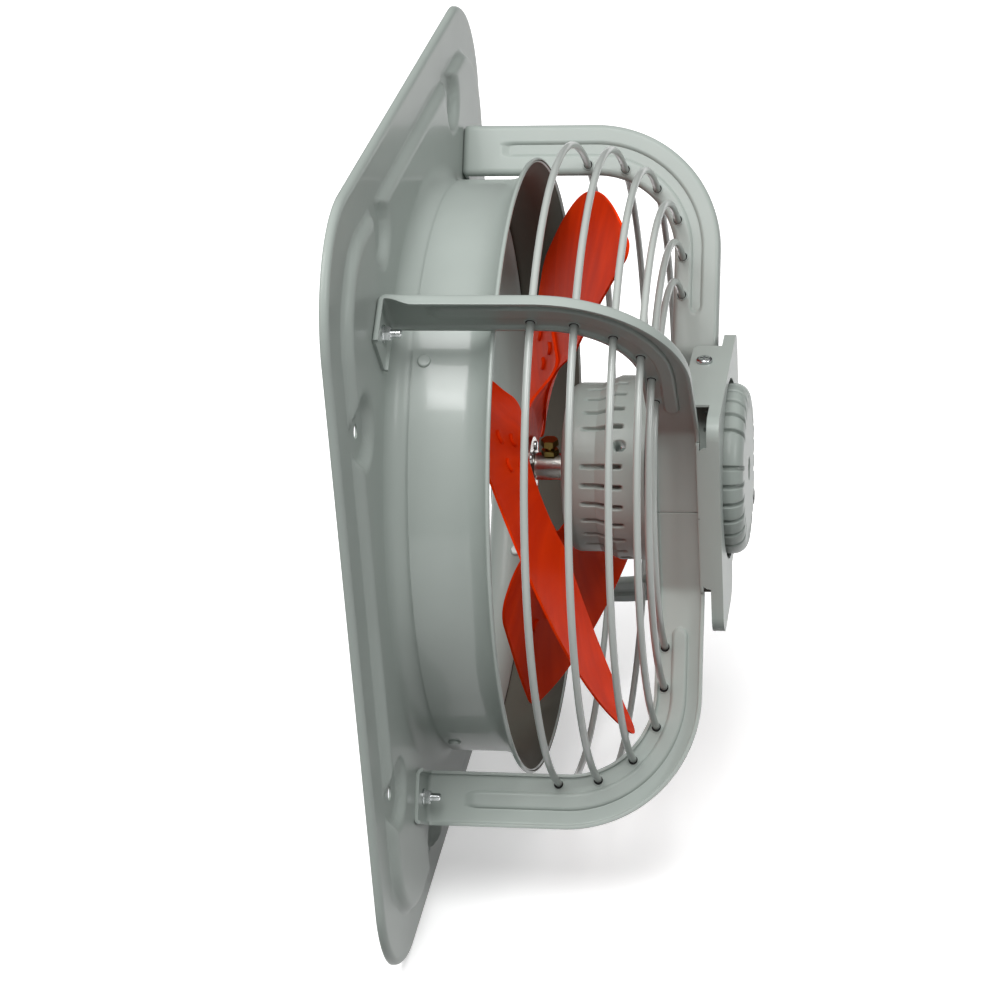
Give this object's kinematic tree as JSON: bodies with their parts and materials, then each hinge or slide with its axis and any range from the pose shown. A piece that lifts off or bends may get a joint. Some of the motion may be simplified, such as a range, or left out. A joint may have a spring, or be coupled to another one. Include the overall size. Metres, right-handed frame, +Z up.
{
  "type": "axial wall exhaust fan",
  "caption": "Square pressed plate with a flared duct, wire guard hoops on bent arms, and a slotted motor turning red sheet blades that drive air through a wall.",
  "frame": {"origin": "on the fan axis, in the plane where the plate meets the wall", "axes": "+X along the fan axis from the wall to the motor, +Z up, +Y to the far side in the picture"},
  "size_m": [0.2084, 0.5, 0.5],
  "materials": {
    "enamel": "gloss",
    "red_enamel": "gloss",
    "zinc_steel": "satin",
    "bright_steel": "satin",
    "yellow_zinc": "satin",
    "lamination_steel": "matte",
    "enamelled_copper": "gloss",
    "black_rubber": "matte"
  },
  "bodies": {
    "housing": {"wall_plate": "enamel", "duct_ring": "enamel", "duct_rivets": "zinc_steel", "arm_top_near": "enamel", "arm_top_far": "enamel", "arm_bottom_near": "enamel", "arm_bottom_far": "enamel", "foot_bolts": "zinc_steel", "foot_nuts": "zinc_steel", "foot_washers": "zinc_steel", "guard_ring_1": "enamel", "guard_ring_2": "enamel", "guard_ring_3": "enamel", "guard_ring_4": "enamel", "guard_ring_5": "enamel", "guard_ring_6": "enamel", "motor_pan": "enamel", "pan_screws": "zinc_steel", "motor_front_shield": "enamel", "motor_rear_shield": "enamel", "motor_through_bolts": "zinc_steel", "stator_core": "lamination_steel", "winding_front": "enamelled_copper", "winding_rear": "enamelled_copper", "bearing_front": "bright_steel", "bearing_rear": "bright_steel", "preload_washer": "bright_steel", "cable_gland": "black_rubber"},
    "rotor": {"motor_shaft": "bright_steel", "rotor_core": "lamination_steel", "blade_1": "red_enamel", "blade_2": "red_enamel", "blade_3": "red_enamel", "blade_spider": "red_enamel", "blade_rivets": "zinc_steel", "fan_hub": "bright_steel", "hub_rivets": "zinc_steel", "hub_lock_nut": "yellow_zinc", "hub_set_bolt": "yellow_zinc"}
  },
  "joints": [
    {"name": "rotor_spin", "type": "hinge", "parent": "housing", "child": "rotor", "pos_m": [0.1, 0, 0], "axis": [1, 0, 0], "continuous": true}
  ]
}
